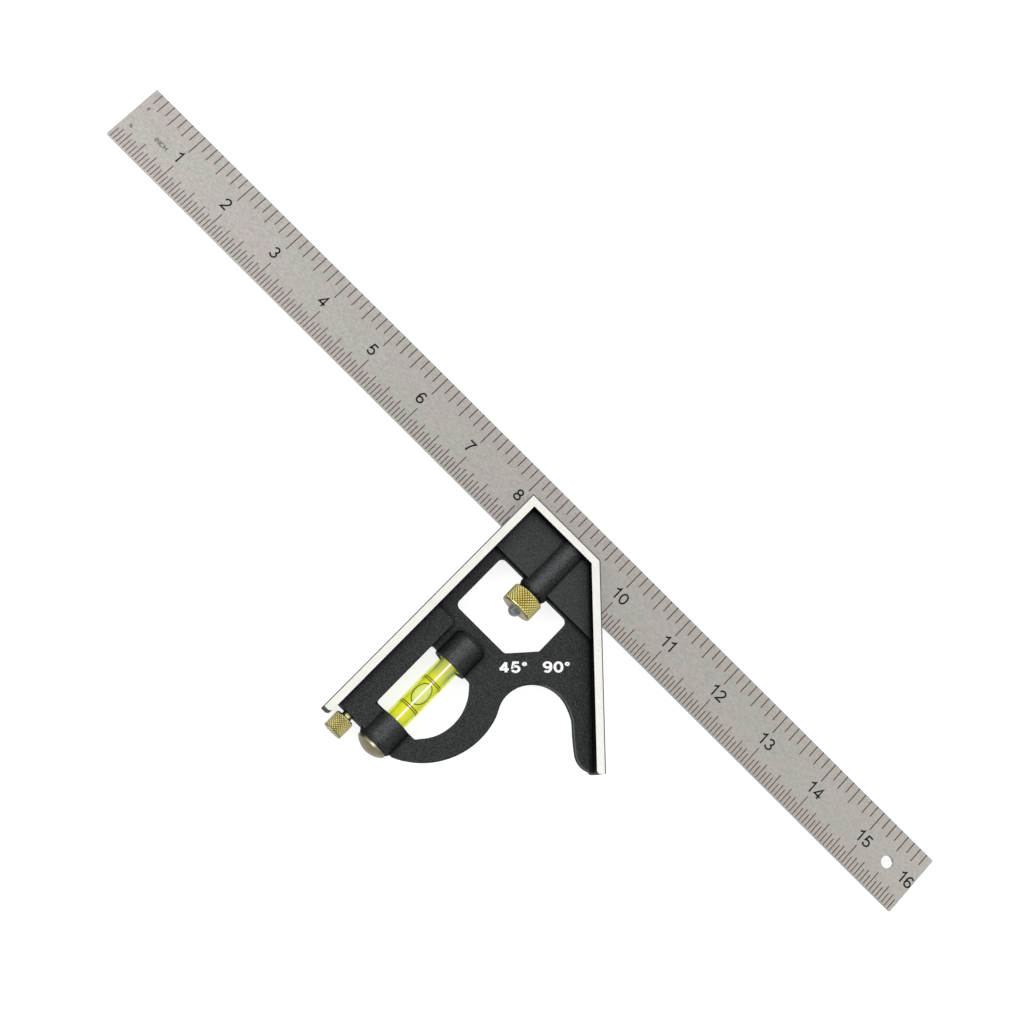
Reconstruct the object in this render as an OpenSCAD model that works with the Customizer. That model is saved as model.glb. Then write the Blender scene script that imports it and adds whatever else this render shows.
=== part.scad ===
// Combination square: a cast head with a 90 degree face, a 45 degree face, a spirit level and a scriber,
// sliding on a graduated steel blade that is gripped by a hooked lock bolt and a knurled nut.
//
// Millimetres. The origin is the vertex of the square: on the 90 degree face, where the blade's inner
// edge leaves the head, at mid thickness. X runs along the blade, into the head from the 90 degree face,
// Y runs across the blade from its inner edge, and Z is normal to the blade. The bolt, the vial and the
// scriber all lie along Y at Z = 0, and the blade's groove is on its back, the -Z side.

/* [Blade] */
// Overall length of the blade
blade_len = 406.4; // [340:0.1:620]
// Width of the blade
blade_w = 25.4; // [24:0.1:30]
// Thickness of the blade
blade_t = 2.2; // [1.8:0.1:2.6]
// How far the blade's zero end stands beyond the 90 degree face
blade_zero = 205.1; // [120:0.1:280]
// Diameter of the hanging hole
hang_d = 4.76; // [3:0.01:6.4]
// Distance of the hanging hole from the far end
hang_in = 12.7; // [8:0.1:20]
// Width of the lengthwise groove in the back of the blade
groove_w = 3.4; // [3.2:0.1:4]
// Depth of the lengthwise groove
groove_d = 0.9; // [0.6:0.05:1.1]

/* [Head] */
// Thickness of the head across its ground rails
head_t = 16; // [15:0.5:20]
// Height of the head's top edge above the slot floor
head_rise = 15.3; // [15.1:0.1:17]
// Length of the 90 degree face below the slot floor
face_drop = 93; // [90.5:0.1:100]
// Width of the rail along the 90 degree face
rail_w = 3.4; // [2.8:0.1:4.5]
// Width of the rail along the top edge
rail_top = 3.1; // [2.5:0.1:4]
// Width of the rail along the 45 degree face
rail_45 = 3.3; // [2.8:0.1:4.2]
// Thickness of the web
web_t = 3.4; // [3:0.1:6]
// Thickness of the slotted block the blade runs through
block_t = 7.0; // [6.6:0.1:10]
// Thickness of the pad that houses the scriber
pad_t = 8.4; // [7.8:0.1:12]

/* [Lock] */
// Diameter of the lock bolt's hooked body
bolt_d = 6.3; // [5.9:0.1:6.6]
// Diameter of the lock bolt's threaded shank, over the threads
stud_d = 4.5; // [4.2:0.1:4.8]
// Diameter of the lock nut
nut_d = 12.8; // [11.6:0.1:14.5]
// Length of the lock nut
nut_len = 8.1; // [6.5:0.1:8.8]
// Wire diameter of the lock spring
spring_wire = 0.5; // [0.35:0.05:0.5]

/* [Level] */
// Outside diameter of the vial
vial_d = 8.8; // [8.2:0.1:9]
// Length of the vial
vial_len = 40.5; // [38:0.1:40.5]
// Diameter of the domed cover cap
cap_d = 12.4; // [11:0.1:13]
// Length of the bubble
bubble_len = 9.4; // [7:0.1:12]

/* [Scriber] */
// Diameter of the scriber's needle
needle_d = 2.0; // [1.6:0.1:2.2]
// Length of the needle outside the knob's neck
needle_len = 45; // [30:1:46]
// Diameter of the scriber's knob
knob_d = 7.8; // [6.6:0.1:9]

/* [Hidden] */
$fn = 96;
overlap = 0.01;  // joins touching solids
through = 1;     // how far a cutter runs past a surface
fit_gap = 0.02;  // between parts that seat on each other
root_2 = sqrt(2);

// slot, with running clearance on each side of the blade
slot_gap = 0.05;
slot_t = blade_t + 2 * slot_gap;

// the 45 degree face crosses the slot floor, y = 0, at corner_x, and its lower end is the tip
corner_x = 49.8;
face_45_len = 77.4;
top_x = corner_x - head_rise;
tip_x = top_x + face_45_len / root_2;
tip_y = head_rise - face_45_len / root_2;
inner_corner_x = corner_x - rail_45 * root_2;

// web, block and pad start inside the 90 degree rail, and stop short of the top edge
inner_x = 1.2;
inner_top_y = head_rise - 1;
body_end_y = -88.3;

// lock
bolt_x = 25;
bolt_hole_d = bolt_d + 0.1;
stud_hole_d = stud_d + 0.1;
ledge_y = -8.4;
boss_end_y = -10.45;
shoulder_y = -2.4;
nut_top_y = boss_end_y - fit_gap;
nut_end_y = nut_top_y - nut_len;
groove_low_y = blade_w / 2 - groove_w / 2;

// level
vial_x = 22.05;
vial_top_y = -45;
vial_end_y = vial_top_y - vial_len;
bore_d = 9.6;
bore_top_y = -44.5;
lower_end_y = -89.9;
bedding_end_y = -87;

// scriber
scriber_x = 8.6;
sleeve_d = 3.6;
sleeve_len = 10;

head_color = [0.09, 0.09, 0.10];
steel_color = [0.72, 0.71, 0.69];
brass_color = [0.76, 0.62, 0.30];
dark_color = [0.30, 0.31, 0.33];
acrylic_color = [0.85, 0.95, 0.60, 0.45];
fluid_color = [0.80, 0.90, 0.10, 0.60];
air_color = [0.95, 0.98, 0.80, 0.35];
plaster_color = [0.90, 0.89, 0.84];
black_color = [0.12, 0.12, 0.13];

// ---- shared shapes ----

// a point on a circle, and the direction of travel there for a rising angle
function point_on(center, radius, angle) = center + radius * [cos(angle), sin(angle)];
function direction_at(angle) = [-sin(angle), cos(angle)];

function arc(center, radius, start, end, steps) =
  [for (i = [0 : steps]) point_on(center, radius, start + (end - start) * i / steps)];

// the inner points of a cubic blend that leaves start along leave and reaches end along arrive
function blend(start, leave, end, arrive, steps) =
  let (control_1 = start + leave, control_2 = end - arrive)
  [for (i = [1 : steps - 1]) let (t = i / steps, u = 1 - t)
    u * u * u * start + 3 * u * u * t * control_1 + 3 * u * t * t * control_2 + t * t * t * end];

// radius of the sphere whose cap has the given base radius and rise
function dome_radius(radius, rise) = (pow(radius, 2) + rise * rise) / (2 * rise);

// a rod along Y, tapering to top_radius at its upper end if that is given
module rod(x, low_y, high_y, radius, top_radius) {
  translate([x, low_y, 0]) rotate([-90, 0, 0])
    cylinder(h = high_y - low_y, r1 = radius, r2 = top_radius == undef ? radius : top_radius);
}

// a rod whose lower end, at low_y, is part of a sphere
module domed_rod(x, low_y, high_y, radius, sphere_radius) {
  intersection() {
    translate([x, low_y + sphere_radius, 0]) sphere(r = sphere_radius);
    rod(x, low_y - through, high_y, radius);
  }
}

// a slab centred on Z
module slab(thickness) {
  translate([0, 0, -thickness / 2]) linear_extrude(height = thickness) children();
}

// ---- head ----

// circles of the web's outline: round the vial, the hand hole, and the end of the arm
ring_center = [18.85, -60.82];
ring_r = 29.8;
ring_start = 16;
ring_end = -asin((ring_center[1] - body_end_y) / ring_r);
notch_center = [58.3, -43.67];
notch_r = 13.72;
notch_start = 70;
notch_end = 188;
lobe_center = [82.1, -35.1];
lobe_r = 7.85;
lobe_start = -40;
lobe_end = -128;
// where the blends from the lobe and the notch meet, and the direction of travel there
arm_mid = [69.3, -34.25];
arm_direction = [-0.7, 0.714];

module web_outline() {
  top_inset = 1.6;
  tip_inset = 0.3;
  arm_end_inset = 0.15;
  difference() {
    polygon(concat(
      [
        [inner_x, body_end_y], [inner_x, inner_top_y],
        [corner_x - top_inset - inner_top_y, inner_top_y],
        [tip_x - tip_inset, tip_y - tip_inset]
      ],
      arc(lobe_center, lobe_r, lobe_start, lobe_end, 22),
      blend(
        point_on(lobe_center, lobe_r, lobe_end), -3.5 * direction_at(lobe_end),
        arm_mid, 3.5 * arm_direction, 8),
      [arm_mid],
      blend(
        arm_mid, 2.2 * arm_direction,
        point_on(notch_center, notch_r, notch_start), 2.6 * direction_at(notch_start), 7),
      arc(notch_center, notch_r, notch_start, notch_end, 30),
      blend(
        point_on(notch_center, notch_r, notch_end), 2.4 * direction_at(notch_end),
        point_on(ring_center, ring_r, ring_start), -2.4 * direction_at(ring_start), 8),
      arc(ring_center, ring_r, ring_start, ring_end, 36)
    ));
    // the arm stops where the 45 degree rail stops
    translate([tip_x, tip_y]) rotate(-45) translate([-arm_end_inset, -20]) square([20, 40]);
  }
}

// the window under the lock nut, with its lower right corner cut at a slant
module window_upper() {
  left = 8.25;
  right = 42.05;
  top = -7.85;
  bottom = -33.25;
  corner = 2.2;
  slant = -41.5;
  polygon(concat(
    arc([left + corner, top - corner], corner, 180, 90, 8),
    arc([right - corner, top - corner], corner, 90, 0, 8),
    arc([right - corner, -22.6], corner, 0, slant, 4),
    arc([32.3, bottom + corner], corner, slant, -90, 5),
    arc([left + corner, bottom + corner], corner, -90, -180, 8)
  ));
}

// the D shaped window the vial is read through
module window_lower() {
  left = 12.6;
  top = -49.5;
  bottom = -78.35;
  left_corner = 0.9;
  right_corner = 1.6;
  right_corner_x = 31.0;
  polygon(concat(
    arc([left + left_corner, top - left_corner], left_corner, 180, 90, 6),
    arc([right_corner_x, top - right_corner], right_corner, 90, 50, 3),
    arc([19.1, -63.8], 18.95, 42, -43, 30),
    arc([right_corner_x, bottom + right_corner], right_corner, -50, -90, 3),
    arc([left + left_corner, bottom + left_corner], left_corner, -90, -180, 6)
  ));
}

module rails() {
  foot_r = 1.4;  // inner corner at the foot of the 90 degree rail
  tip_r = 1.3;   // inner corner at the end of the 45 degree rail
  under_top_y = head_rise - rail_top;
  tip_corner = [tip_x - rail_45 / root_2, tip_y - rail_45 / root_2 + tip_r * root_2];
  slab(head_t) {
    difference() {
      polygon(concat(
        [[0, -face_drop], [0, head_rise], [top_x, head_rise], [tip_x, tip_y]],
        arc(tip_corner, tip_r, -45, -135, 8),
        [[inner_corner_x - under_top_y, under_top_y], [rail_w, under_top_y], [rail_w, -face_drop]]
      ));
      translate([rail_w - foot_r, -face_drop - through]) square(foot_r + through);
    }
    translate([rail_w - foot_r, -face_drop + foot_r]) circle(r = foot_r, $fn = 48);
  }
}

// the block the blade's slot is cut in, lapping into the 45 degree rail
module block() {
  bottom = -7.3;
  lap = 1.2;
  slab(block_t) polygon([
    [inner_x, bottom], [inner_x, inner_top_y],
    [inner_corner_x + lap - head_rise, inner_top_y],
    [inner_corner_x + lap - bottom, bottom]
  ]);
}

// the scriber pad, running under the lower window as far as the lower boss
module pad() {
  top = -38.2;
  right = 12.4;
  corner = 1.8;
  foot_top = -79.2;
  foot_right = 19;
  slab(pad_t) polygon(concat(
    [[inner_x, body_end_y], [inner_x, top]],
    arc([right - corner, top - corner], corner, 90, 0, 8),
    [[right, foot_top], [foot_right, foot_top], [foot_right, body_end_y]]
  ));
}

module bolt_boss() {
  boss_r = 11.8 / 2;
  taper_len = 1.3;
  rod(bolt_x, boss_end_y, boss_end_y + taper_len, boss_r - 0.7, boss_r);
  rod(bolt_x, boss_end_y + taper_len, inner_top_y, boss_r);
}

// sections of the vial's bosses: lower y, upper y, lower radius, upper radius
vial_bosses = [
  // upper boss
  [-50.3, -39.6, 7, 7],
  [-39.6, -38.4, 7, 5.9],
  // lower boss, and its taper down to the cover cap's seat
  [-88.4, -78.6, 7.15, 7.15],
  [lower_end_y, -88.4, 6.25, 7.3]
];

module head_solid() {
  slab(web_t) difference() {
    web_outline();
    window_upper();
    window_lower();
  }
  block();
  pad();
  rails();
  bolt_boss();
  for (boss = vial_bosses) rod(vial_x, boss[0], boss[1], boss[2], boss[3]);
}

module head_casting() color(head_color) {
  scriber_hole_r = 1.25;
  scriber_hole_top_y = -41.2;
  difference() {
    head_solid();
    // blade slot, open at both sides and at the top
    translate([-through, -slot_gap, -slot_t / 2]) cube([120, head_rise + 2, slot_t]);
    // relief at the slot's mouth in the 45 degree face, so that the corner under the blade stays clear
    translate([corner_x + slot_gap, -slot_gap, 0]) rotate(-45) slab(slot_t)
      polygon([[-1.4, 1], [-1.4, -1.1], [1.3, -1.1], [2.4, 0], [2.4, 1]]);
    // lock bolt hole with a ledge for the spring
    rod(bolt_x, ledge_y, head_rise + through, bolt_hole_d / 2);
    rod(bolt_x, boss_end_y - through, ledge_y + through, stud_hole_d / 2);
    // vial bore
    rod(vial_x, lower_end_y - through, bore_top_y, bore_d / 2);
    // scriber hole, and the wider seat of its friction sleeve
    rod(scriber_x, body_end_y - through, scriber_hole_top_y, scriber_hole_r);
    rod(scriber_x, body_end_y - through, body_end_y + sleeve_len, sleeve_d / 2);
  }
}

// ---- blade ----

module blade() color(steel_color) {
  difference() {
    translate([-blade_zero, 0, -blade_t / 2]) cube([blade_len, blade_w, blade_t]);
    translate([-blade_zero - through, groove_low_y, -blade_t / 2 - through])
      cube([blade_len + 2 * through, groove_w, groove_d + through]);
    translate([blade_len - blade_zero - hang_in, blade_w / 2, -5]) cylinder(h = 10, d = hang_d);
  }
}

// ---- lock ----

// a V groove round the shank, where its thread shows below the nut
module thread_groove(y) {
  depth = 0.26;
  half_width = 0.24;
  outer_r = stud_d / 2 + 0.1;
  translate([bolt_x, y, 0]) rotate([-90, 0, 0]) rotate_extrude()
    polygon([[stud_d / 2 - depth, 0], [outer_r, -half_width], [outer_r, half_width]]);
}

module lock_bolt() color(dark_color) {
  body_top_y = 14.1;
  stud_end_y = nut_end_y - 1.25;
  stud_rise = 1.5;
  thread_start = 0.45;
  thread_pitch = 0.62;
  clearance_low_y = -1.15;
  clearance_z = -slot_t / 2 - 0.05;
  hook_z = -blade_t / 2 + groove_d - 0.1;
  hook_low_y = groove_low_y + 0.05;
  hook_width = groove_w - 1.15;
  difference() {
    union() {
      rod(bolt_x, shoulder_y, body_top_y, bolt_d / 2);
      rod(bolt_x, stud_end_y, shoulder_y + overlap, stud_d / 2);
      domed_rod(bolt_x, stud_end_y - stud_rise, stud_end_y + overlap, stud_d / 2,
        dome_radius(stud_d / 2, stud_rise));
    }
    for (i = [0 : 1]) thread_groove(nut_end_y - thread_start - i * thread_pitch);
    // clearance for the blade, leaving the hook that reaches into the blade's groove
    difference() {
      translate([bolt_x - 5, clearance_low_y, clearance_z]) cube([10, 20.5, 10]);
      translate([bolt_x - 6, hook_low_y, -6]) cube([12, hook_width, 6 + hook_z]);
    }
  }
}

// a helical wire, swept as rows of points round the wire, with flat end coils
module lock_spring() color(steel_color) {
  turns = 5.5;
  flat_share = 0.13;  // share of the wire in each flat end coil
  end_gap = 0.03;
  wire_r = spring_wire / 2;
  coil_r = (bolt_hole_d + stud_d) / 4;
  top_y = shoulder_y - wire_r - end_gap;
  bottom_y = ledge_y + wire_r + end_gap;
  rows = 132;
  sides = 10;
  points = [for (i = [0 : rows], j = [0 : sides - 1])
    let (
      t = i / rows,
      descent = max(0, min(1, (t - flat_share) / (1 - 2 * flat_share))),
      coil_angle = 360 * turns * t,
      wire_angle = 360 * j / sides,
      radius = coil_r + wire_r * cos(wire_angle),
      y = top_y + (bottom_y - top_y) * descent + wire_r * sin(wire_angle)
    ) [bolt_x + radius * cos(coil_angle), y, radius * sin(coil_angle)]];
  faces = concat(
    [for (i = [0 : rows - 1], j = [0 : sides - 1])
      let (here = i * sides + j, beside = i * sides + (j + 1) % sides)
      for (face = [[here, beside, beside + sides], [here, beside + sides, here + sides]]) face],
    [[for (j = [sides - 1 : -1 : 0]) j]],
    [[for (j = [0 : sides - 1]) rows * sides + j]]
  );
  polyhedron(points = points, faces = faces, convexity = 10);
}

module lock_nut() color(brass_color) {
  nut_r = nut_d / 2;
  top_taper_y = nut_top_y - 1.05;
  top_r = nut_r - 1.3;
  chamfer = 0.65;
  difference() {
    union() {
      rod(bolt_x, top_taper_y, nut_top_y, nut_r, top_r);
      rod(bolt_x, nut_end_y + chamfer, top_taper_y, nut_r);
      rod(bolt_x, nut_end_y, nut_end_y + chamfer, nut_r - chamfer, nut_r);
    }
    rod(bolt_x, nut_end_y - through, nut_top_y + through, stud_hole_d / 2);
  }
}

// ---- level ----

cavity_r = vial_d / 2 - 0.8;
vial_roof = 1.2;
plug_len = 1.5;
bubble_r = 2.7;
bubble_y = -65.2;
bubble_z = cavity_r - bubble_r - 0.1;
bubble_half = bubble_len / 2 - bubble_r;  // from the middle to the centre of each round end
ring_ys = [-59.05, -59.83, -71.05, -71.83];

// a band round the vial's axis, centred at y
module band(y, width, inner_r, outer_r) {
  translate([vial_x, y - width / 2, 0]) rotate([-90, 0, 0]) difference() {
    cylinder(h = width, r = outer_r);
    translate([0, 0, -through]) cylinder(h = width + 2 * through, r = inner_r);
  }
}

// a round ended rod about the bubble's middle
module capsule(half, radius) {
  translate([0, 0, bubble_z]) {
    rod(vial_x, bubble_y - half, bubble_y + half, radius);
    for (side = [-1, 1]) translate([vial_x, bubble_y + side * half, 0]) sphere(r = radius);
  }
}

module vial_body() color(acrylic_color) {
  difference() {
    rod(vial_x, vial_end_y, vial_top_y, vial_d / 2);
    rod(vial_x, vial_end_y - through, vial_top_y - vial_roof, cavity_r);
    // grooves for the gauge rings
    for (y = ring_ys) band(y, 0.40, vial_d / 2 - 0.22, vial_d / 2 + through);
  }
}

// the filled rings that gauge the bubble, in two pairs
module vial_gauge_rings() color(black_color) {
  for (y = ring_ys) band(y, 0.36, vial_d / 2 - 0.2, vial_d / 2);
}

module vial_end_plug() color(acrylic_color) {
  rod(vial_x, vial_end_y + fit_gap, vial_end_y + plug_len, cavity_r - fit_gap);
}

module vial_fluid() color(fluid_color) {
  bubble_travel = 5;
  bubble_gap = 0.05;
  difference() {
    rod(vial_x, vial_end_y + plug_len + fit_gap, vial_top_y - vial_roof - fit_gap,
      cavity_r - fit_gap);
    // the channel the bubble drifts along
    capsule(bubble_half + bubble_travel, bubble_r + bubble_gap);
  }
}

module vial_bubble() color(air_color) capsule(bubble_half, bubble_r);

module vial_bedding_upper() color(plaster_color) {
  low_y = -50.1;
  difference() {
    rod(vial_x, low_y, bore_top_y - fit_gap, bore_d / 2 - fit_gap);
    rod(vial_x, low_y - through, vial_top_y + fit_gap, vial_d / 2 + fit_gap);
  }
}

module vial_bedding_lower() color(plaster_color) {
  high_y = -78.8;
  difference() {
    rod(vial_x, bedding_end_y, high_y, bore_d / 2 - fit_gap);
    rod(vial_x, vial_end_y - fit_gap, high_y + through, vial_d / 2 + fit_gap);
  }
}

module vial_cover_cap() color(brass_color) {
  rise = 2.6;
  rim_top_y = lower_end_y - fit_gap;
  rim_end_y = rim_top_y - 0.9;
  // spigot in the bore, and the rim against the boss
  rod(vial_x, lower_end_y - 0.5, bedding_end_y - fit_gap, bore_d / 2 - fit_gap);
  rod(vial_x, rim_end_y, rim_top_y, cap_d / 2);
  domed_rod(vial_x, rim_end_y - rise, rim_end_y + overlap, cap_d / 2, dome_radius(cap_d / 2, rise));
}

// ---- scriber ----

knob_top_y = -89.9;
socket_depth = 4;  // how far the needle is set into the knob

module scriber_sleeve() color(black_color) {
  top_y = body_end_y + sleeve_len;
  difference() {
    rod(scriber_x, body_end_y + 0.05, top_y - fit_gap, sleeve_d / 2 - fit_gap);
    rod(scriber_x, body_end_y - through, top_y + through, needle_d / 2 + 0.04);
  }
}

module scriber_needle() color(dark_color) {
  point_len = 5;
  point_r = 0.08;
  end_y = body_end_y + needle_len;
  rod(scriber_x, knob_top_y - socket_depth, end_y - point_len, needle_d / 2);
  rod(scriber_x, end_y - point_len, end_y, needle_d / 2, point_r);
}

module scriber_knob() color(brass_color) {
  neck_d = 4.1;
  neck_gap = 0.03;
  end_y = -97.25;
  chamfer = 0.5;
  dome_len = 0.55;
  difference() {
    union() {
      rod(scriber_x, knob_top_y - overlap, body_end_y - neck_gap, neck_d / 2);
      rod(scriber_x, knob_top_y - chamfer, knob_top_y, knob_d / 2, knob_d / 2 - chamfer);
      rod(scriber_x, end_y + dome_len, knob_top_y - chamfer, knob_d / 2);
      // slightly domed end
      domed_rod(scriber_x, end_y, end_y + dome_len + overlap, knob_d / 2, 14);
    }
    rod(scriber_x, knob_top_y - socket_depth - fit_gap, body_end_y + through, needle_d / 2 + 0.01);
  }
}

head_casting();
blade();
lock_bolt();
lock_spring();
lock_nut();
vial_body();
vial_gauge_rings();
vial_fluid();
vial_bubble();
vial_end_plug();
vial_bedding_upper();
vial_bedding_lower();
vial_cover_cap();
scriber_needle();
scriber_knob();
scriber_sleeve();
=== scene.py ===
"""A machinist's combination square with its scriber and spirit level.

The blade lies along X with its width in Y and its faces square to Z; +Z is the front. The cast
head hangs below it in Y: its 90 degree face looks to -X at x = 0, its 45 degree face to +X +Y.
The lock nut, the scriber and the level vial all have axes along Y. Lengths are in millimetres
and are scaled to metres as meshes are made.
"""

import math
from collections import namedtuple
from functools import cached_property

import bmesh
import bpy
from mathutils import Matrix, Vector

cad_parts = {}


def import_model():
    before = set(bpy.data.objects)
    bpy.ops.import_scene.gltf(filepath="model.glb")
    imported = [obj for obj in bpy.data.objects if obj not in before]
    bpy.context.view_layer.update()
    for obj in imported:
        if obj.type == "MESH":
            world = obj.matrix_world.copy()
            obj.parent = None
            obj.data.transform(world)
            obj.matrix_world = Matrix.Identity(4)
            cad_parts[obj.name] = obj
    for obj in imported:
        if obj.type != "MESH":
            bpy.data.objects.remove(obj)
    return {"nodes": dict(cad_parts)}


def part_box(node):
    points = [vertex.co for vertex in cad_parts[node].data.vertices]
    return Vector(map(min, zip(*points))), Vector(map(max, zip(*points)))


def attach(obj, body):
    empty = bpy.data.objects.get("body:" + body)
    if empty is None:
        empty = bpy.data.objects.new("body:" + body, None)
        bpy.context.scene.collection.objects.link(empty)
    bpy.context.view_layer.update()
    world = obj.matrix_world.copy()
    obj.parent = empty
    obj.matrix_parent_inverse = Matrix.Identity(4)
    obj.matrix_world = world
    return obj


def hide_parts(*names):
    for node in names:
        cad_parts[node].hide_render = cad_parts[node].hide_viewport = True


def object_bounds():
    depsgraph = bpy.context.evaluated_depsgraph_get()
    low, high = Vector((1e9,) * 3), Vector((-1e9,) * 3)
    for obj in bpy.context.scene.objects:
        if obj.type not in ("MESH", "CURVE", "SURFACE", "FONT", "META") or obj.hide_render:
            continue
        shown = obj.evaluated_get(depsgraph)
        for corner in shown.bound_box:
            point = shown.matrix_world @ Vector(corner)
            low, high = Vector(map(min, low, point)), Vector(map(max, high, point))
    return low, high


MM = 0.001

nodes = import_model()["nodes"]
cad_lo, cad_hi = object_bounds()

# A piece turned about an axis along Y: the axis's place, its radius, and its ends in Y.
Turned = namedtuple("Turned", "x z radius low high")


def box_mm(name):
    lo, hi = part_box(name)
    return lo / MM, hi / MM


def turned_box(name):
    lo, hi = box_mm(name)
    return Turned((lo.x + hi.x) / 2, (lo.z + hi.z) / 2, (hi.x - lo.x) / 2, lo.y, hi.y)


# ---------------------------------------------------------------- node graphs

SHADER_INPUTS = {
    "color": "Base Color",
    "metal": "Metallic",
    "rough": "Roughness",
    "normal": "Normal",
    "spec": "Specular IOR Level",
    "emit": "Emission Color",
    "emit_power": "Emission Strength",
}
# The first of the two inputs that a Mix node blends, and its output, for each kind of data.
MIX_SOCKETS = {"FLOAT": (2, 0), "VECTOR": (4, 1), "RGBA": (6, 2)}


class Value:
    """A node's output. Arithmetic on it adds math nodes to its net."""

    def __init__(self, net, socket):
        self.net = net
        self.socket = socket

    def __add__(self, other):
        return self.net.math("ADD", self, other)

    def __sub__(self, other):
        return self.net.math("SUBTRACT", self, other)

    def __rsub__(self, other):
        return self.net.math("SUBTRACT", other, self)

    def __mul__(self, other):
        return self.net.math("MULTIPLY", self, other)

    def __abs__(self):
        return self.net.math("ABSOLUTE", self)


class Net:
    """A material's node graph, written as expressions. Lengths are in millimetres."""

    def __init__(self, name):
        self.mat = bpy.data.materials.new(name)
        self.mat.use_nodes = True
        self.tree = self.mat.node_tree
        self.tree.nodes.clear()
        self.out = self.tree.nodes.new("ShaderNodeOutputMaterial")

    def put(self, socket, value):
        if isinstance(value, Value):
            self.tree.links.new(value.socket, socket)
            return
        if isinstance(value, tuple) and len(value) == 3 and socket.type == "RGBA":
            value = (*value, 1)
        socket.default_value = value

    def node(self, kind, ins=None, output=0, **props):
        """Adds a node and returns one of its outputs."""
        node = self.tree.nodes.new(kind)
        for key, value in props.items():
            setattr(node, key, value)
        for key, value in (ins or {}).items():
            self.put(node.inputs[key], value)
        return Value(self, node.outputs[output])

    def math(self, operation, *values):
        return self.node("ShaderNodeMath", dict(enumerate(values)), operation=operation)

    def maxi(self, first, *others):
        for other in others:
            first = self.math("MAXIMUM", first, other)
        return first

    def above(self, value, limit, soft=0.0):
        """1 where value is above limit, 0 below, with an optional soft step."""
        if not soft:
            return self.math("GREATER_THAN", value, limit)
        ins = {0: value, 1: limit - soft, 2: limit + soft, 3: 0.0, 4: 1.0}
        return self.node("ShaderNodeMapRange", ins, interpolation_type="SMOOTHSTEP")

    def below(self, value, limit):
        return self.math("LESS_THAN", value, limit)

    def band(self, value, lo, hi, soft):
        """1 where value lies between lo and hi."""
        return self.above(value, lo, soft) * (1.0 - self.above(value, hi, soft))

    def remap(self, value, lo, hi, to_lo=0.0, to_hi=1.0):
        return self.node("ShaderNodeMapRange", {0: value, 1: lo, 2: hi, 3: to_lo, 4: to_hi})

    def hypot(self, a, b):
        return self.math("SQRT", a * a + b * b)

    @cached_property
    def place(self):
        """Position in the object's frame, in millimetres."""
        coords = self.node("ShaderNodeTexCoord", output="Object")
        ins = {0: coords, "Scale": 1 / MM}
        return self.node("ShaderNodeVectorMath", ins, operation="SCALE")

    @cached_property
    def skew(self):
        """Position turned off the axes, so no flat face lies along the noise's own lattice."""
        ins = {"Vector": self.place, "Rotation": (0.61, 0.43, 0.27)}
        return self.node("ShaderNodeMapping", ins)

    def stretch(self, x, y, z, shift=(0, 0, 0), turn=0.0):
        """Position scaled along each axis, for streaky noise."""
        ins = {"Vector": self.place, "Location": shift, "Rotation": (0, 0, turn)}
        return self.node("ShaderNodeMapping", {**ins, "Scale": (x, y, z)})

    def axis(self, vector, letter):
        return self.node("ShaderNodeSeparateXYZ", {0: vector}, output=letter)

    def position(self, letters):
        return [self.axis(self.place, a) for a in letters]

    def face_normal(self, letters):
        kind = "ShaderNodeNewGeometry"
        return [self.axis(self.node(kind, output="True Normal"), a) for a in letters]

    def mirror(self, letters):
        """Direction the eye sees reflected in the surface."""
        kind = "ShaderNodeTexCoord"
        return [self.axis(self.node(kind, output="Reflection"), a) for a in letters]

    def facing(self):
        """0 where the surface looks at the eye, 1 where it is seen edge on."""
        return self.node("ShaderNodeLayerWeight", {"Blend": 0.5}, output="Facing")

    def open_sky(self, reach):
        """1 on open surfaces, falling to 0 in deep corners."""
        ins = {"Distance": reach * MM}
        return self.node("ShaderNodeAmbientOcclusion", ins, output="AO", samples=6)

    def vec(self, x, y, z):
        return self.node("ShaderNodeCombineXYZ", {0: x, 1: y, 2: z})

    def noise(self, scale=1.0, detail=3.0, rough=0.5, vector=None):
        ins = {"Vector": vector or self.skew, "Scale": scale, "Detail": detail}
        return self.node("ShaderNodeTexNoise", {**ins, "Roughness": rough})

    def cells(self, scale):
        return self.node("ShaderNodeTexVoronoi", {"Vector": self.place, "Scale": scale})

    def mix(self, factor, a, b, kind="RGBA"):
        """a where factor is 0, b where it is 1."""
        first, output = MIX_SOCKETS[kind]
        ins = {0: factor, first: a, first + 1: b}
        return self.node("ShaderNodeMix", ins, output=output, data_type=kind)

    def lerp(self, factor, a, b):
        return self.mix(factor, a, b, kind="FLOAT")

    def layer(self, under, mask, color, amount=None):
        """Lays color over under where mask is 1, as thickly as amount says."""
        return self.mix(mask if amount is None else mask * amount, under, color)

    def bump(self, height, depth, strength):
        ins = {"Height": height, "Distance": depth * MM, "Strength": strength}
        return self.node("ShaderNodeBump", ins)

    def clear(self, color):
        return self.node("ShaderNodeBsdfTransparent", {"Color": color})

    def mix_shaders(self, factor, a, b):
        return self.node("ShaderNodeMixShader", {0: factor, 1: a, 2: b})

    def principled(self, **ins):
        named = {SHADER_INPUTS[key]: value for key, value in ins.items()}
        return self.node("ShaderNodeBsdfPrincipled", named)

    def finish(self, shader):
        """Joins the shader to the output and returns the material."""
        self.put(self.out.inputs["Surface"], shader)
        return self.mat

    def surface(self, **ins):
        return self.finish(self.principled(**ins))


def wear(obj, mat):
    """The object takes the material in every slot."""
    if not obj.data.materials:
        obj.data.materials.append(mat)
    for slot in obj.material_slots:
        slot.link = "OBJECT"
        slot.material = mat


# ---------------------------------------------------------------- head and blade materials

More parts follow.
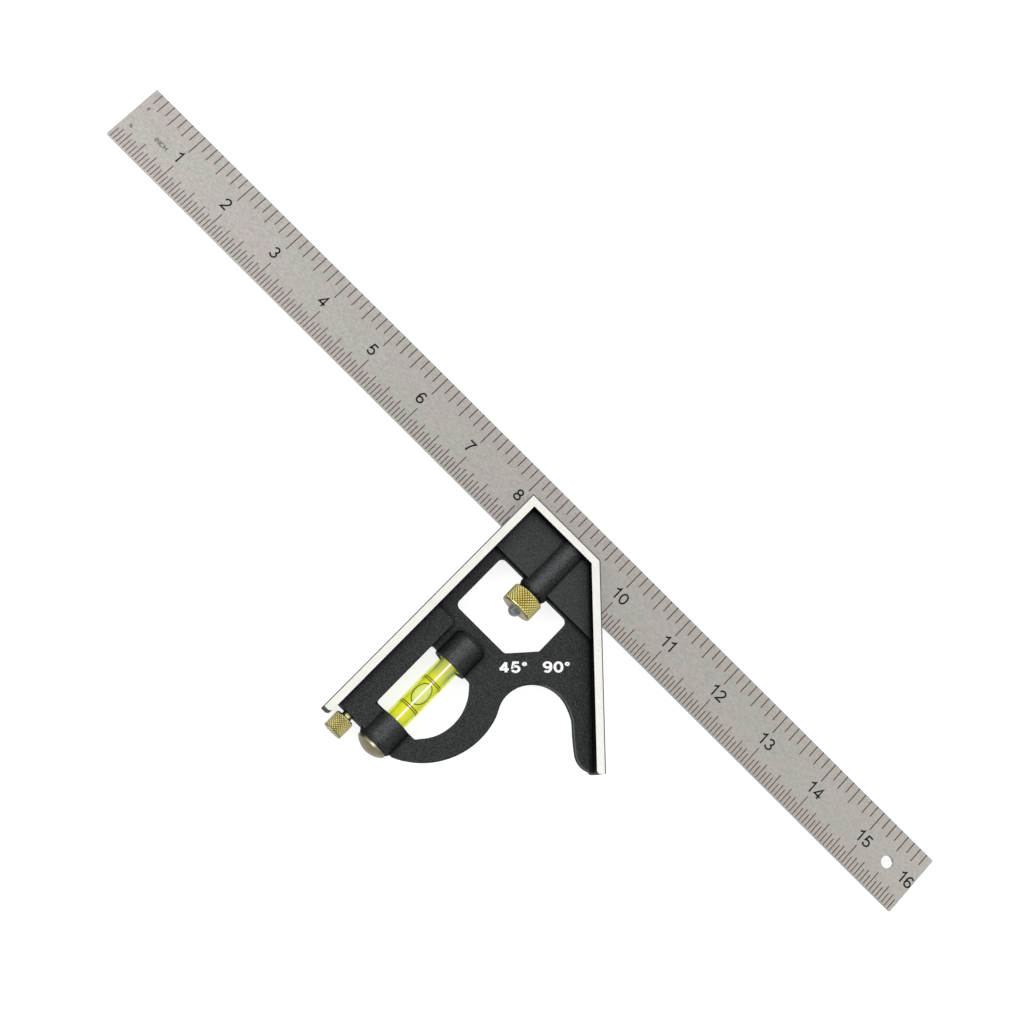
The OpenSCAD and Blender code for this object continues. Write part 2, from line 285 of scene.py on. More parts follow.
head_lo, head_hi = box_mm("head_casting")
RAIL_Z = head_hi.z  # the ground rails' front plane
TOP_Y = head_hi.y
DIAG = 49.8 / math.sqrt(2)  # distance of the 45 degree face from the origin
WEB_Z = 1.7  # half the web's thickness
ON_PLANE = 0.06  # a point this near a ground plane counts as on it
SQUARE_ON = 0.8  # a normal component above this counts as looking that way


def rail_finish(net, y, diag, works, arris):
    """Ground steel: its color and roughness, and the grinding lines that shape it."""
    # fine grinding lines, one set for each direction of travel
    along_y = net.noise(detail=4, rough=0.65, vector=net.stretch(9, 0.12, 9))
    along_x = net.noise(detail=4, rough=0.65, vector=net.stretch(0.12, 9, 9))
    turned = net.stretch(0.12, 9, 9, turn=math.radians(45))
    along_diag = net.noise(detail=4, rough=0.65, vector=turned)
    near_diag = net.above(diag, DIAG - 3.6)
    near_top = net.above(y, TOP_Y - 3.4)
    lines = net.lerp(near_top, net.lerp(near_diag, along_y, along_diag), along_x)

    blot = net.noise(scale=0.22, detail=3, rough=0.6)
    specks = net.above(net.noise(scale=1.9, detail=4, rough=0.72), 0.640, soft=0.02)
    shifted = net.stretch(1, 1, 1, shift=(9, 4, 2))
    pin_noise = net.noise(scale=4.6, detail=3, rough=0.7, vector=shifted)
    pins = net.above(pin_noise, 0.660, soft=0.02)
    col = net.mix(net.remap(lines, lo=0.3, hi=0.7), (0.80, 0.79, 0.73), (0.985, 0.975, 0.915))
    col = net.layer(col, net.remap(blot, lo=0.45, hi=0.75), (0.74, 0.735, 0.67), amount=0.40)
    col = net.layer(col, specks, (0.36, 0.36, 0.35), amount=0.55)
    col = net.layer(col, pins, (0.30, 0.30, 0.29), amount=0.40)
    col = net.layer(col, works, (0.50, 0.50, 0.50), amount=0.62)
    # painted reflection: the broken edge is coloured a dark violet grey, as the chamfer mirrors
    # darker surroundings
    col = net.layer(col, arris, (0.088, 0.084, 0.125))
    rough = lines * 0.16 + (blot * 0.10 + 0.22)
    return col, rough, net.bump(lines, depth=0.012, strength=0.6)


def enamel_finish(net, x, abs_z, abs_nz, diag_normal):
    """Sprayed enamel on a cast skin: dark pebbling with worn, lighter high spots."""
    sky = net.open_sky(reach=2.2)
    open_ = net.remap(sky, lo=0.45, hi=0.90)
    level = net.remap(abs_nz, lo=0.35, hi=0.98)
    grain = net.noise(scale=1.9, detail=4, rough=0.68)
    fine = net.noise(scale=4.3, detail=3, rough=0.68)
    cloud = net.noise(scale=0.14, detail=4, rough=0.55)
    pits = net.cells(scale=1.5)
    col = net.mix(cloud, (0.0065, 0.0082, 0.0070), (0.0125, 0.0142, 0.0130))
    coarse_spots = net.above(grain, 0.54, soft=0.08)
    col = net.layer(col, coarse_spots, (0.056, 0.064, 0.058), amount=0.30)
    fine_spots = net.above(fine, 0.575, soft=0.05)
    col = net.layer(col, fine_spots, (0.118, 0.130, 0.124), amount=0.42)
    hollows = 1.0 - net.above(fine, 0.44, soft=0.05)
    col = net.layer(col, hollows, (0.0024, 0.0030, 0.0026), amount=0.60)
    raised = net.above(abs_z, 3.3) * (1.0 - net.above(abs_z, 3.9))
    col = net.layer(col, raised, (0.105, 0.120, 0.112), amount=0.12)

    # the round bosses carry a long, broken highlight along their crowns
    crown = net.above(abs_z, 4.26) * net.above(x, 13.2) * net.below(x, 31.2)
    mirror_x, mirror_z = net.mirror("XZ")
    lean = net.math("ARCTAN2", mirror_x, abs(mirror_z))
    sheen = crown * net.band(lean, lo=-0.75, hi=0.42, soft=0.45)
    broken = net.remap(fine, lo=0.34, hi=0.62, to_lo=0.25)
    sheen = sheen * (broken * net.remap(grain, lo=0.36, hi=0.60, to_lo=0.30))
    col = net.layer(col, sheen, (0.105, 0.112, 0.118), amount=0.85)

    # painted shade: corners and steep sides are darkened in the colour, as shade falls in corners
    # and steep sides catch little light
    exposure = net.lerp(open_, 0.06, 1.0) * net.lerp(level, 0.14, 1.0)
    col = net.mix(exposure, (0.0010, 0.0010, 0.0012), col)

    # the web's rims round over, and the side towards the key light shows as a thin pale line
    rolled = net.band(abs_nz, lo=0.50, hi=0.93, soft=0.05)
    lit = rolled * net.below(diag_normal, -0.15) * net.below(abs_z, WEB_Z + 0.02)
    broken = net.remap(fine, lo=0.30, hi=0.60, to_lo=0.45, to_hi=0.95)
    col = net.layer(col, lit * broken, (0.105, 0.118, 0.130))

    rough = fine * 0.26 + (cloud * 0.10 + 0.30)
    spec = exposure * (net.remap(fine, lo=0.38, hi=0.70) * 0.50 + 0.03)
    height = grain * 0.9 + (fine * 0.45 + pits * 0.35)
    return col, rough, spec, net.bump(height, depth=0.14, strength=0.85)


def make_head_material():
    net = Net("cast_enamel_and_ground_rails")
    x, y, z = net.position("XYZ")
    nx, ny, nz = net.face_normal("XYZ")
    abs_z, abs_nz = abs(z), abs(nz)
    diag = (x + y) * (1 / math.sqrt(2))
    diag_normal = (nx + ny) * (1 / math.sqrt(2))
    # ground planes: front and back of the rails, and the three working faces
    flat = net.above(abs_z, RAIL_Z - ON_PLANE) * net.above(abs_nz, SQUARE_ON)
    face_90 = net.below(x, ON_PLANE) * net.below(nx, -SQUARE_ON)
    face_top = net.above(y, TOP_Y - ON_PLANE) * net.above(ny, SQUARE_ON)
    face_45 = net.above(diag, DIAG - ON_PLANE) * net.above(diag_normal, SQUARE_ON)
    works = net.maxi(face_90, face_top, face_45)
    ground = net.maxi(flat, works)
    # the broken edge between the rails' flats and the working faces
    reach = 0.42
    outer = net.maxi(
        net.below(x, reach), net.above(y, TOP_Y - reach), net.above(diag, DIAG - reach)
    )
    arris = outer * net.above(abs_z, RAIL_Z - 0.45) * (1.0 - works)
    metal = net.maxi(ground, arris)

    m_col, m_rough, m_bump = rail_finish(net, y, diag, works, arris)
    e_col, e_rough, e_spec, e_bump = enamel_finish(net, x, abs_z, abs_nz, diag_normal)
    return net.surface(
        color=net.mix(metal, e_col, m_col),
        metal=metal * 0.88 * (1.0 - arris * 0.45),
        rough=net.lerp(metal, e_rough, m_rough),
        spec=net.lerp(metal, e_spec, 0.5),
        normal=net.mix(metal, e_bump, m_bump, kind="VECTOR"),
    )


def make_blade_material():
    net = Net("satin_rule_steel")
    [x] = net.position("X")
    abs_nz = abs(net.face_normal("Z")[0])
    brush = net.noise(detail=5, rough=0.7, vector=net.stretch(0.06, 5.5, 5.5))
    hair = net.noise(detail=3, rough=0.8, vector=net.stretch(0.35, 24, 24))
    cloud = net.noise(detail=4, rough=0.55, vector=net.stretch(0.018, 0.09, 0.09))
    shifted = net.stretch(0.05, 0.16, 0.16, shift=(31, 7, 0))
    patch = net.noise(detail=4, rough=0.6, vector=shifted)
    mottle = net.noise(scale=1.7, detail=3, rough=0.6)
    grit = net.noise(detail=4, rough=0.72, vector=net.stretch(0.75, 2.1, 2.1))
    col = net.mix(net.remap(cloud, lo=0.35, hi=0.65), (0.480, 0.438, 0.418), (0.440, 0.442, 0.392))
    # each row: what drives the tone, its range, the tone's color, how strongly it shows
    tones = (
        (patch, 0.45, 0.72, (0.475, 0.400, 0.385), 0.55),
        (brush, 0.42, 0.75, (0.53, 0.52, 0.49), 0.5),
        (hair, 0.55, 0.8, (0.34, 0.325, 0.31), 0.35),
        (mottle, 0.5, 0.8, (0.36, 0.345, 0.33), 0.22),
        (grit, 0.48, 0.70, (0.600, 0.580, 0.545), 0.62),
        (grit, 0.50, 0.30, (0.300, 0.285, 0.265), 0.62),
        # painted shade: the face is coloured darker towards the +X end, as less light falls there
        (x, -150.0, 165.0, (0.235, 0.230, 0.205), 0.42),
    )
    for driver, lo, hi, color, amount in tones:
        col = net.layer(col, net.remap(driver, lo, hi), color, amount)
    # the narrow edges are coloured darker
    col = net.layer(col, net.below(abs_nz, 0.5), (0.250, 0.225, 0.222), amount=0.70)
    rough = brush * 0.18 + (cloud * 0.08 + 0.27)
    height = grit * 0.6 + (brush + hair * 0.5)
    bump = net.bump(height, depth=0.010, strength=0.55)
    return net.surface(color=col, metal=0.93, rough=rough, normal=bump)


def make_ink_material(name, dark, brown, wear_amount):
    """Filled etching: a matt pigment, a little thin where the fill is worn."""
    net = Net(name)
    worn = net.noise(scale=1.1, detail=4, rough=0.7)
    drift = net.noise(scale=0.02, detail=2, rough=0.5)
    col = net.mix(net.remap(drift, lo=0.4, hi=0.6), dark, brown)
    col = net.layer(col, net.remap(worn, lo=0.5, hi=0.85), (0.22, 0.19, 0.18), wear_amount)
    bump = net.bump(worn, depth=0.01, strength=0.6)
    return net.surface(color=col, metal=0.0, rough=worn * 0.3 + 0.6, spec=0.12, normal=bump)


head_mat = make_head_material()
blade_mat = make_blade_material()
tick_mat = make_ink_material(
    "etched_tick_fill",
    dark=(0.040, 0.010, 0.013), brown=(0.075, 0.016, 0.022), wear_amount=0.12,
)
numeral_mat = make_ink_material(
    "etched_numeral_fill",
    dark=(0.0040, 0.0065, 0.0070), brown=(0.0085, 0.0090, 0.0095), wear_amount=0.05,
)

# ---------------------------------------------------------------- mesh helpers


def new_object(name, mesh):
    obj = bpy.data.objects.new(name, mesh)
    bpy.context.scene.collection.objects.link(obj)
    return obj


def mesh_from(name, verts_mm, faces, smooth=True):
    mesh = bpy.data.meshes.new(name)
    mesh.from_pydata([tuple(c * MM for c in v) for v in verts_mm], [], faces)
    mesh.validate()
    mesh.update()
    for face in mesh.polygons:
        face.use_smooth = smooth
    return new_object(name, mesh)


def face_outward(obj):
    bm = bmesh.new()
    bm.from_mesh(obj.data)
    bmesh.ops.recalc_face_normals(bm, faces=bm.faces)
    bm.to_mesh(obj.data)
    bm.free()


def soften(obj, width, segments=2, angle=35, weld=True, group=None):
    """Breaks a CAD node's edges with modifiers only: the sharp ones, or those of a group."""
    if weld:
        join = obj.modifiers.new("weld", "WELD")
        join.merge_threshold = 2e-6
        flats = obj.modifiers.new("flats", "DECIMATE")
        flats.decimate_type = "DISSOLVE"
        flats.angle_limit = math.radians(0.4)
    bevel = obj.modifiers.new("edges", "BEVEL")
    bevel.width = width * MM
    bevel.segments = segments
    bevel.limit_method = "VGROUP" if group else "ANGLE"
    bevel.angle_limit = math.radians(angle)
    bevel.use_clamp_overlap = not group
    bevel.miter_outer = "MITER_ARC"
    bevel.harden_normals = False
    if group:
        bevel.vertex_group = group


# ---------------------------------------------------------------- head casting and blade

RING_X, RING_Y, RING_RADIUS = 18.85, -60.82, 29.8  # the circle that bounds the boss area


def free_contour(c):
    """Points of the ring, the hand hole and the arm, clear of the bosses and the rail."""
    if c.y < -86.5 or (c.x + c.y) / math.sqrt(2) > DIAG - 4.6:
        return False
    away = math.hypot(c.x - RING_X, c.y - RING_Y) > RING_RADIUS - 0.3
    return away and (c.x > 44.0 or c.y < -45.0)


def mark_web_rim(obj):
    """Groups the web's free contour points, so that a modifier can pick their edges."""
    group = obj.vertex_groups.new(name="web_rim")
    picked = []
    for vert in obj.data.vertices:
        c = vert.co / MM
        if abs(abs(c.z) - WEB_Z) < 0.02 and free_contour(c):
            picked.append(vert.index)
    group.add(picked, 1.0, "REPLACE")


head = nodes["head_casting"]
wear(head, head_mat)
wear(nodes["blade"], blade_mat)
mark_web_rim(head)
soften(head, width=0.80, segments=4, group="web_rim")
soften(head, width=0.35, segments=3, weld=False)
soften(nodes["blade"], width=0.12)

# ---------------------------------------------------------------- lathe and knurl

# A diamond knurl: diamonds round the piece, their pitch along it, groove depth, and the Y
# where the pattern starts.
Knurl = namedtuple("Knurl", "count pitch depth start")
KNURL_CUTS = 12  # mesh steps across one diamond, both ways


def knurl_waves(knurl, i, steps, y):
    """Two crossing helical waves, each 1 in its groove and 0 midway between grooves."""
    u = knurl.count * i / steps
    v = (y - knurl.start) / knurl.pitch
    p, q = u + v, u - v
    return abs(2 * (p - math.floor(p)) - 1), abs(2 * (q - math.floor(q)) - 1)


def lathe_piece(name, cx, cz, rows, steps, knurl=None):
    """A closed ring of revolution about an axis along Y through (cx, cz).

    rows are (y, r, k) in order round the section; k is how deep the knurl cuts there.
    """
    verts, faces = [], []
    for y, r, k in rows:
        for i in range(steps):
            angle = 2 * math.pi * i / steps
            radius = r
            if knurl and k > 0:
                wave = max(knurl_waves(knurl, i, steps, y))
                radius = r - knurl.depth * k * max(0.0, (wave - 0.26) / 0.74)
            verts.append((cx + radius * math.cos(angle), y, cz + radius * math.sin(angle)))
    for j, (y, _, k) in enumerate(rows):
        j2 = (j + 1) % len(rows)
        y2, _, k2 = rows[j2]
        for i in range(steps):
            i2 = (i + 1) % steps
            a, b, c, d = j * steps + i, j * steps + i2, j2 * steps + i2, j2 * steps + i
            if not (knurl and k > 0 and k2 > 0):
                faces.append((a, b, c, d))
                continue
            # the quad's diagonal follows the groove it lies in
            wave_p, wave_q = knurl_waves(knurl, i + 0.5, steps, (y + y2) / 2)
            if (wave_p > wave_q) == (y2 > y):
                faces += [(a, b, d), (b, c, d)]
            else:
                faces += [(a, b, c), (a, c, d)]
    obj = mesh_from(name, verts, faces, smooth=knurl is None)
    face_outward(obj)
    return obj


def corner_rows(start, end, corner, count):
    """Rows of a rounded corner from start to end, bulging to corner; all three are (y, r)."""
    out = []
    for i in range(count + 1):
        t = i / count
        u = 1 - t
        y, r = (u * u * s + 2 * u * t * c + t * t * e for s, e, c in zip(start, end, corner))
        out.append((y, r, 0))
    return out


def knurled_rows(knurl, length, radius):
    """Rows of the knurled side, running down from the knurl's start and fading at both ends."""
    step = knurl.pitch / KNURL_CUTS
    last = int(length / step)
    return [
        (knurl.start - i * step, radius, min(1.0, (i + 0.6) / 2.2, (last - i + 0.6) / 2.2))
        for i in range(last + 1)
    ]


def smooth_by_size(obj, area):
    """Larger flats and turned faces shade smooth, and knurl facets stay crisp."""
    for face in obj.data.polygons:
        face.use_smooth = face.area > area * 1e-6


def make_brass(name, piece, depth, light, mid, dark, end_col, end_y, top_shade_y=None):
    """Turned and knurled brass: crests light, grooves painted dark as shade and rougher, faces with
    turning rings.

    end_y is the height below which the end's own color shows; the last height, where given, is
    where painted shade next to the casting begins.
    """
    net = Net(name)
    x, y, z = net.position("XYZ")
    [mirror_z] = net.mirror("Z")
    r = net.hypot(x - piece.x, z - piece.z)
    groove = net.remap(r, lo=piece.radius - depth, hi=piece.radius - 0.04, to_lo=1.0, to_hi=0.0)
    on_side = net.above(r, piece.radius - depth - 0.1)
    tarnish = net.noise(scale=0.7, detail=4, rough=0.6)
    fine = net.noise(scale=5.0, detail=3, rough=0.6)
    rings = net.noise(detail=2, rough=0.5, vector=net.vec(r * 7.0, y * 0.15, 0.0))
    col = net.mix(net.remap(tarnish, lo=0.35, hi=0.7), light, mid)
    # metal shows dark where it mirrors the room and light where it mirrors the softbox overhead
    sky = mirror_z + fine * 0.12
    room = net.remap(sky, lo=-0.55, hi=0.35, to_lo=0.72, to_hi=0.0)
    col = net.layer(col, room, (0.16, 0.135, 0.055))
    # painted shade: the knurl's grooves are coloured dark
    col = net.layer(col, net.remap(groove, lo=0.10, hi=0.85) * on_side, dark, amount=0.80)
    col = net.layer(col, net.remap(fine, lo=0.55, hi=0.8), dark, amount=0.25)
    plain = net.below(y, end_y) * (1.0 - net.above(r, piece.radius - 0.45, soft=0.15))
    ringed = net.mix(net.remap(rings, lo=0.3, hi=0.75), end_col, tuple(c * 0.72 for c in end_col))
    col = net.layer(col, plain, ringed, amount=0.92)
    # painted shade: the rounded side next to the free end is coloured dark olive
    shaded_end_band = net.below(y, end_y + 0.55) * (1.0 - plain)
    col = net.layer(col, shaded_end_band, (0.155, 0.140, 0.075), amount=0.70)
    # painted shade: the band at the top, next to the casting, is coloured dark
    if top_shade_y is not None:
        col = net.layer(col, net.above(y, top_shade_y), (0.155, 0.145, 0.085), amount=0.85)
    rough = fine * 0.14 + (tarnish * 0.12 + 0.22)
    rough = net.maxi(rough, groove * (on_side * 0.5), plain * 0.5)
    bump = net.bump(rings * 0.7 + fine * 0.4, depth=0.012, strength=0.7)
    return net.surface(color=col, metal=0.95 - plain * 0.55, rough=rough, normal=bump)


NUT = turned_box("lock_nut")
KNOB = turned_box("scriber_knob")


def make_nut():
    R, top, end = NUT.radius, NUT.high, NUT.low
    bore = 2.3
    zone_top, zone_end = top - 1.05, end + 0.6
    knurl = Knurl(count=30, pitch=1.30, depth=0.50, start=zone_top - 0.14)
    rows = [(top, bore + 0.35, 0)]
    rows += corner_rows((top, R - 1.5), (top - 0.16, R - 1.2), (top, R - 1.32), 3)
    rows += corner_rows(
        (zone_top + 0.14, R - 0.2), (zone_top - 0.1, R - 0.02), (zone_top + 0.02, R - 0.03), 3
    )
    rows += knurled_rows(knurl, zone_top - 0.1 - zone_end - 0.1, R)
    rows.append((rows[-1][0] - 0.05, R - 0.01, 0))
    rows += corner_rows((end + 0.5, R - 0.06), (end + 0.02, R - 0.56), (end + 0.18, R - 0.16), 4)
    rows += corner_rows((end + 0.01, R - 0.66), (end, R - 0.8), (end, R - 0.7), 2)
    rows += [(end, bore + 0.45, 0), (end + 0.45, bore, 0), (top - 0.35, bore, 0)]
    obj = lathe_piece("lock_nut_knurled", NUT.x, NUT.z, rows, knurl.count * KNURL_CUTS, knurl)
    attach(obj, "nut")
    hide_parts("lock_nut")
    obj.data.materials.append(make_brass(
        "knurled_brass_nut", NUT, knurl.depth,
        light=(1.0, 0.97, 0.50), mid=(1.0, 0.91, 0.37), dark=(0.360, 0.260, 0.055),
        end_col=(0.36, 0.315, 0.235), end_y=end + 0.05, top_shade_y=top - 1.0,
    ))
    smooth_by_size(obj, area=0.035)


def make_knob():
    R, neck_top, end = KNOB.radius, KNOB.high, KNOB.low
    top = -89.9  # the shoulder under the neck
    neck, bore = 2.05, 1.02
    knurl = Knurl(count=24, pitch=1.0, depth=0.36, start=top - 0.62)
    rows = [(neck_top, bore, 0)]
    rows += corner_rows((neck_top, neck - 0.2), (neck_top - 0.18, neck), (neck_top, neck), 3)
    rows += corner_rows((top + 0.28, neck), (top, neck + 0.28), (top, neck), 3)
    rows += corner_rows((top, R - 0.62), (top - 0.10, R - 0.46), (top, R - 0.5), 2)
    rows += corner_rows((top - 0.42, R - 0.08), (top - 0.56, R), (top - 0.5, R), 2)
    rows += knurled_rows(knurl, knurl.start - (end + 0.66), R)
    rows.append((rows[-1][0] - 0.04, R - 0.01, 0))
    rows += corner_rows((end + 0.52, R - 0.05), (end + 0.30, R - 0.50), (end + 0.40, R - 0.10), 3)
    for i in range(1, 7):
        angle = i / 7 * math.pi / 2
        rows.append((end + 0.30 - 0.30 * math.sin(angle), (R - 0.5) * math.cos(angle), 0))
    rows += [(end, 0.02, 0), (top - 4.0, 0.02, 0), (top - 4.0, bore, 0)]
    steps = knurl.count * KNURL_CUTS
    obj = lathe_piece("scriber_knob_knurled", KNOB.x, KNOB.z, rows, steps, knurl)
    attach(obj, "scriber")
    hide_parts("scriber_knob")
    obj.data.materials.append(make_brass(
        "knurled_brass_knob", KNOB, knurl.depth,
        light=(1.0, 0.97, 0.56), mid=(1.0, 0.91, 0.44), dark=(0.235, 0.175, 0.045),
        end_col=(0.40, 0.36, 0.24), end_y=end + 0.5,
    ))
    smooth_by_size(obj, area=0.03)


make_nut()
make_knob()

# ---------------------------------------------------------------- lettering


def arc(cx, cy, rx, ry, a0, a1, n):
    """n + 1 points of an ellipse about (cx, cy), from a0 to a1 degrees."""
    angles = [math.radians(a0 + (a1 - a0) * i / n) for i in range(n + 1)]
    return [(cx + rx * math.cos(a), cy + ry * math.sin(a)) for a in angles]


def loop(cx, cy, rx, ry, n):
    """A closed stroke round the whole ellipse."""
    return arc(cx, cy, rx, ry, 0, 360, n)[:-1], True


# characters one unit high: width, and strokes of (points, closed)
GLYPHS = {
    "0": (0.68, [loop(0.34, 0.5, 0.285, 0.445, 28)]),
    "1": (0.42, [([(0.02, 0.755), (0.13, 0.80), (0.25, 0.88), (0.335, 0.985), (0.335, 0.0)],
                  False)]),
    "2": (0.68, [(arc(0.335, 0.695, 0.265, 0.25, 175, -28, 16)
                  + [(0.44, 0.40), (0.22, 0.21), (0.09, 0.055), (0.64, 0.055)], False)]),
    "3": (0.68, [(arc(0.325, 0.72, 0.235, 0.225, 165, -80, 16), False),
                 (arc(0.325, 0.285, 0.275, 0.235, 85, -168, 18), False)]),
    "4": (0.70, [([(0.49, 0.0), (0.49, 0.935), (0.05, 0.265), (0.68, 0.265)], False)]),
    "5": (0.68, [([(0.60, 0.945), (0.19, 0.945), (0.115, 0.50)]
                  + arc(0.335, 0.32, 0.275, 0.27, 128, -160, 20), False)]),
    "6": (0.68, [loop(0.345, 0.30, 0.265, 0.25, 24),
                 (arc(0.375, 0.50, 0.295, 0.45, 50, 192, 14), False)]),
    "7": (0.68, [([(0.04, 0.945), (0.63, 0.945), (0.47, 0.72), (0.35, 0.46), (0.27, 0.20),
                   (0.25, 0.0)], False)]),
    "8": (0.68, [loop(0.34, 0.735, 0.225, 0.215, 22), loop(0.34, 0.285, 0.275, 0.235, 24)]),
    "9": (0.68, [loop(0.335, 0.70, 0.265, 0.25, 24),
                 (arc(0.305, 0.50, 0.295, 0.45, 12, -130, 14), False)]),
    "I": (0.30, [([(0.15, 0.0), (0.15, 1.0)], False)]),
    "N": (0.86, [([(0.08, 0.0), (0.08, 0.94), (0.78, 0.06), (0.78, 1.0)], False)]),
    "C": (0.88, [(arc(0.46, 0.5, 0.38, 0.445, 42, 318, 22), False)]),
    "H": (0.88, [([(0.08, 0.0), (0.08, 1.0)], False), ([(0.80, 0.0), (0.80, 1.0)], False),
                 ([(0.08, 0.52), (0.80, 0.52)], False)]),
}


def ribbon(points, closed, width):
    """Left and right outline of a stroke with mitred corners."""
    count = len(points)
    left, right = [], []
    for i in range(count):
        here = Vector(points[i])
        before = after = None
        if i > 0 or closed:
            before = (here - Vector(points[i - 1])).normalized()
        if i < count - 1 or closed:
            after = (Vector(points[(i + 1) % count]) - here).normalized()
        before = after if before is None else before
        after = before if after is None else after
        side = Vector((-before.y, before.x))
        mitre = side + Vector((-after.y, after.x))
        mitre = (side if mitre.length < 1e-6 else mitre).normalized()
        reach = width / 2 / max(0.42, mitre.dot(side))
        left.append(here + mitre * reach)
        right.append(here - mitre * reach)
    return left, right


def stroke_quads(points, closed, width, place):
    """The stroke's quads, each point moved by place, anticlockwise seen from +Z."""
    left, right = ribbon(points, closed, width)
    count = len(points)
    for i in range(count if closed else count - 1):
        j = (i + 1) % count
        quad = [place(q) for q in (right[i], right[j], left[j], left[i])]
        pairs = zip(quad, quad[1:] + quad[:1])
        if sum(a[0] * b[1] - b[0] * a[1] for a, b in pairs) < 0:
            quad.reverse()
        yield quad


def add_prism(verts, faces, outline, shown, hidden):
    """A prism between the heights shown and hidden on an anticlockwise outline."""
    n = len(outline)
    base = len(verts)
    verts += [(x, y, shown) for x, y in outline] + [(x, y, hidden) for x, y in outline]
    front = shown > hidden
    order, other = (range(n), range(n)[::-1]) if front else (range(n)[::-1], range(n))
    faces.append(tuple(base + i for i in order))
    faces.append(tuple(base + n + i for i in other))
    for i in range(n):
        j = (i + 1) % n
        a, b = (base + j, base + i) if front else (base + i, base + j)
        faces.append((a, b, n + b, n + a))


# ---------------------------------------------------------------- graduations

INCH = 25.4
blade_lo, blade_hi = box_mm("blade")
ZERO_X = blade_lo.x
BLADE_WIDTH = blade_hi.y
INCHES = int(round((blade_hi.x - blade_lo.x) / INCH))
FRONT, BACK = 1, -1
EDGE_GAP = 0.13  # from a blade edge to where its ticks begin


class Inlay:
    """A thin raised fill laid on one side of the blade."""

    proud, sunk = 0.012, 0.02

    def __init__(self, side):
        self.side = side
        self.z = blade_hi.z if side == FRONT else blade_lo.z
        self.verts, self.faces = [], []

    def prism(self, outline, lift=0.0):
        shown = self.z + self.side * (self.proud + lift)
        add_prism(self.verts, self.faces, outline, shown, self.z - self.side * self.sunk)

    def bar(self, x, y0, y1, width):
        lo, hi = min(y0, y1), max(y0, y1)
        left, right = x - width / 2, x + width / 2
        self.prism([(left, lo), (right, lo), (right, hi), (left, hi)])

    def text(self, string, x, base, height, stroke, gap=0.0):
        """Writes the string from x. On the back the characters are turned over."""
        for char in string:
            width, strokes = GLYPHS[char]
            for order, (points, closed) in enumerate(strokes):
                quads = stroke_quads(
                    points, closed, stroke / height,
                    lambda q: (x + q.x * height, base + self.side * q.y * height),
                )
                for quad in quads:
                    self.prism(quad, lift=0.003 * order)
            x += width * height + gap

    def make(self, name, mat):
        obj = mesh_from(name, self.verts, self.faces, smooth=False)
        bm = bmesh.new()
        bm.from_mesh(obj.data)
        bmesh.ops.remove_doubles(bm, verts=bm.verts, dist=1e-8)
        bm.to_mesh(obj.data)
        bm.free()
        obj.data.materials.append(mat)
        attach(obj, "blade")


def make_ticks(name, side, high_edge, per_inch, width, lengths):
    """Ticks along the low or high Y edge.

    lengths run from the inch tick down, one for each halving of the inch.
    """
    inlay = Inlay(side)
    for i in range(1, INCHES * per_inch):
        length = next(n for k, n in enumerate(lengths) if i % (per_inch >> k) == 0)
        x = ZERO_X + i * INCH / per_inch
        if high_edge:
            inlay.bar(x, BLADE_WIDTH - EDGE_GAP, BLADE_WIDTH - length, width)
        else:
            inlay.bar(x, EDGE_GAP, length, width)
    inlay.make(name, tick_mat)


def make_front_numerals():
    """Single figures stand left of the inch line, pairs across it, and the last pair left."""
    inlay = Inlay(FRONT)
    height, stroke, base = 4.5, 0.64, 10.65
    one = GLYPHS["1"][0] * height
    for k in range(1, INCHES + 1):
        x = ZERO_X + k * INCH
        figures = str(k)
        if k == INCHES:
            last = x - 0.35 - 0.66 * height
            starts = (last - 0.9 - one, last)
        elif k < 10:
            starts = (x - 0.25 - GLYPHS[figures][0] * height,)
        else:
            starts = (x - 0.55 - one, x + 0.62)
        for figure, start in zip(figures, starts):
            inlay.text(figure, start, base, height, stroke)
    inlay.text("INCH", ZERO_X + 13.4, base, height=1.8, stroke=0.26, gap=0.22)
    inlay.text("8", ZERO_X + 3.1, 17.1, height=1.35, stroke=0.2)
    inlay.text("16", ZERO_X + 3.1, 7.75, height=1.3, stroke=0.18, gap=0.12)
    inlay.make("numerals_front", numeral_mat)


def make_back_numerals():
    inlay = Inlay(BACK)
    height, gap = 3.1, 0.25
    for k in range(1, INCHES + 1):
        figures = str(k)
        width = sum(GLYPHS[c][0] * height for c in figures) + gap * (len(figures) - 1)
        x = ZERO_X + k * INCH - 0.5 - width
        inlay.text(figures, x, 10.2, height, stroke=0.38, gap=gap)
    for label, base in (("32", 8.9), ("64", 18.6)):
        inlay.text(label, ZERO_X + 1.6, base, height=1.5, stroke=0.2, gap=0.15)
    inlay.make("numerals_back", numeral_mat)


make_ticks("graduations_front_eighths", FRONT, high_edge=True, per_inch=8, width=0.36,
           lengths=(8.7, 7.25, 6.25, 5.1))
make_ticks("graduations_front_sixteenths", FRONT, high_edge=False, per_inch=16, width=0.33,
           lengths=(9.0, 7.45, 6.6, 5.55, 4.6))
make_front_numerals()
make_ticks("graduations_back_thirtyseconds", BACK, high_edge=False, per_inch=32, width=0.2,
           lengths=(6.0, 5.4, 4.8, 4.2, 3.5, 2.8))
make_ticks("graduations_back_sixtyfourths", BACK, high_edge=True, per_inch=64, width=0.13,
           lengths=(6.0, 5.4, 4.8, 4.2, 3.5, 2.8, 2.2))
make_back_numerals()

# ---------------------------------------------------------------- angle marking


def make_printed_white():
    net = Net("printed_white")
    worn = net.noise(scale=1.6, detail=4, rough=0.7)
    col = net.mix(net.remap(worn, lo=0.45, hi=0.75), (0.90, 0.90, 0.88), (0.74, 0.745, 0.735))
    col = net.layer(col, net.above(worn, 0.68, soft=0.03), (0.30, 0.31, 0.30), amount=0.5)
    bump = net.bump(worn, depth=0.03, strength=0.6)
    return net.surface(color=col, rough=worn * 0.3 + 0.35, normal=bump)


